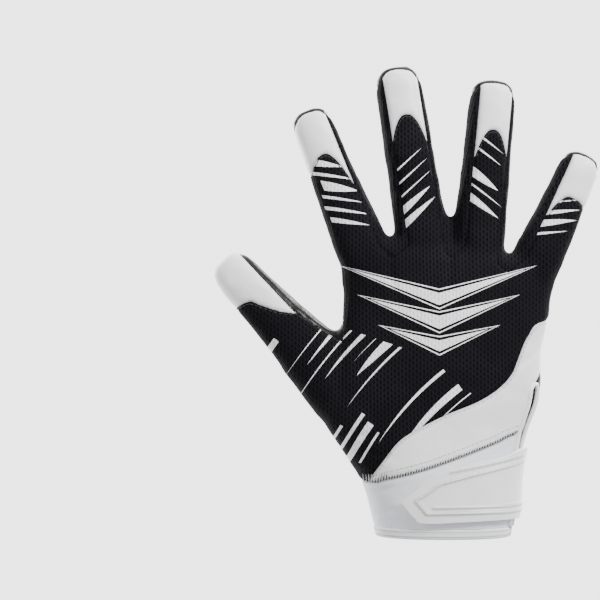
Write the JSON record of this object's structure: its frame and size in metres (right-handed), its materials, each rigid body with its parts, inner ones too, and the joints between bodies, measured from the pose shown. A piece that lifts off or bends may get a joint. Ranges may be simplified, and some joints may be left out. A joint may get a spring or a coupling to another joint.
{
  "type": "football receiver glove",
  "caption": "Right-hand football receiver glove, upright as if worn: silicone palm, mesh back, knit cuff and wrist strap.",
  "frame": {"origin": "centre of the wrist opening, at the bottom of the hem", "axes": "+Z from the wrist to the fingertips, the back of the hand faces -Y, the thumb is at -X"},
  "size_m": [0.1926, 0.0485, 0.2355],
  "materials": {
    "mesh_cloth": "fine ribbed stretch mesh, black with white printed stripes",
    "white_cloth": "smooth white synthetic leather",
    "silicone": "glossy black silicone over cloth, with white printed stripes",
    "knit": "white ribbed knit",
    "binding": "white elastic binding",
    "white_rubber": "matte white moulded rubber",
    "label_cloth": "black woven tab"
  },
  "bodies": {
    "root": {"palm_panel": "silicone", "thumb_palm": "silicone", "back_panel": "mesh_cloth", "side_panel": "white_cloth", "cuff": "knit", "hem_binding": "binding", "slit_binding": "white_rubber", "strap": "white_rubber", "label": "label_cloth", "tip_cap_thumb": "white_cloth", "tip_cap_index": "white_cloth", "tip_cap_middle": "white_cloth", "tip_cap_ring": "white_cloth", "tip_cap_pinky": "white_cloth", "fourchette_index_middle": "mesh_cloth", "fourchette_middle_ring": "mesh_cloth", "fourchette_ring_pinky": "mesh_cloth"}
  },
  "joints": []
}
